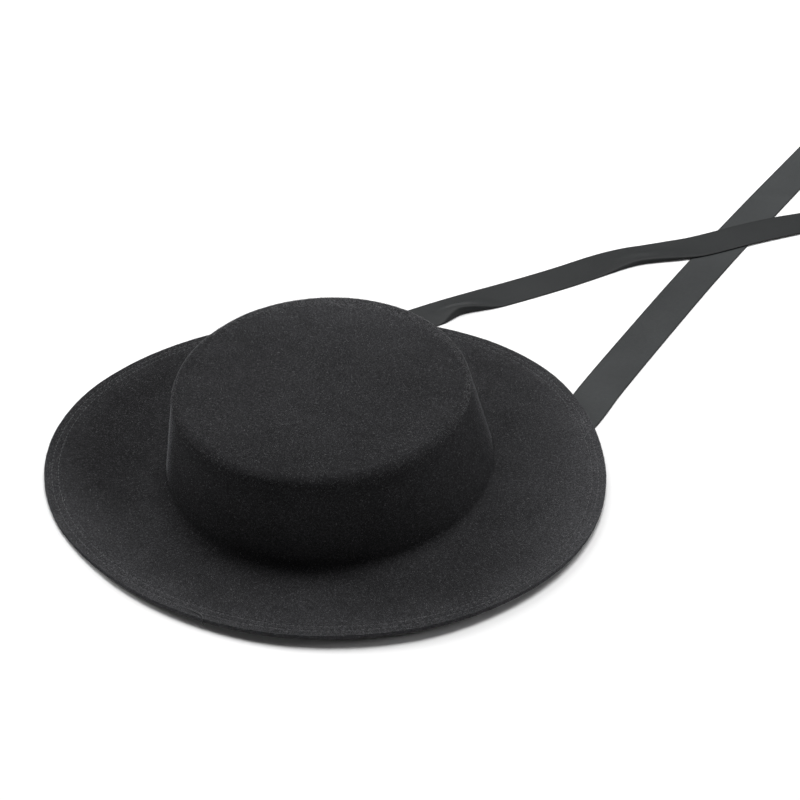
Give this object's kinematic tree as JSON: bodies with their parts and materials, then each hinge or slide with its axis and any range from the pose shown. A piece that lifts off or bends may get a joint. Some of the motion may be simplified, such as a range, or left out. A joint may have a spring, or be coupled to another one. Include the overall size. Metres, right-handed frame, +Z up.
{
  "type": "felt flat-top hat with ribbon ties",
  "caption": "Low round felt hat with a flat-topped crown, a wide flat brim and ribbon ties, lying brim down with the ties laid out behind it.",
  "frame": {"origin": "middle of the head opening, level with the surface that the brim rests on", "axes": "+Z up through the crown top, -Y to the front of the hat, +X to the right as seen from the front"},
  "size_m": [0.4307, 0.6022, 0.0522],
  "materials": {
    "felt": "black wool felt, matt and slightly fuzzy",
    "ribbon": "dark grey woven ribbon, soft sheen"
  },
  "bodies": {
    "root": {"felt_body": "felt", "ribbon_tie_left": "ribbon", "ribbon_tie_right": "ribbon"}
  },
  "joints": []
}
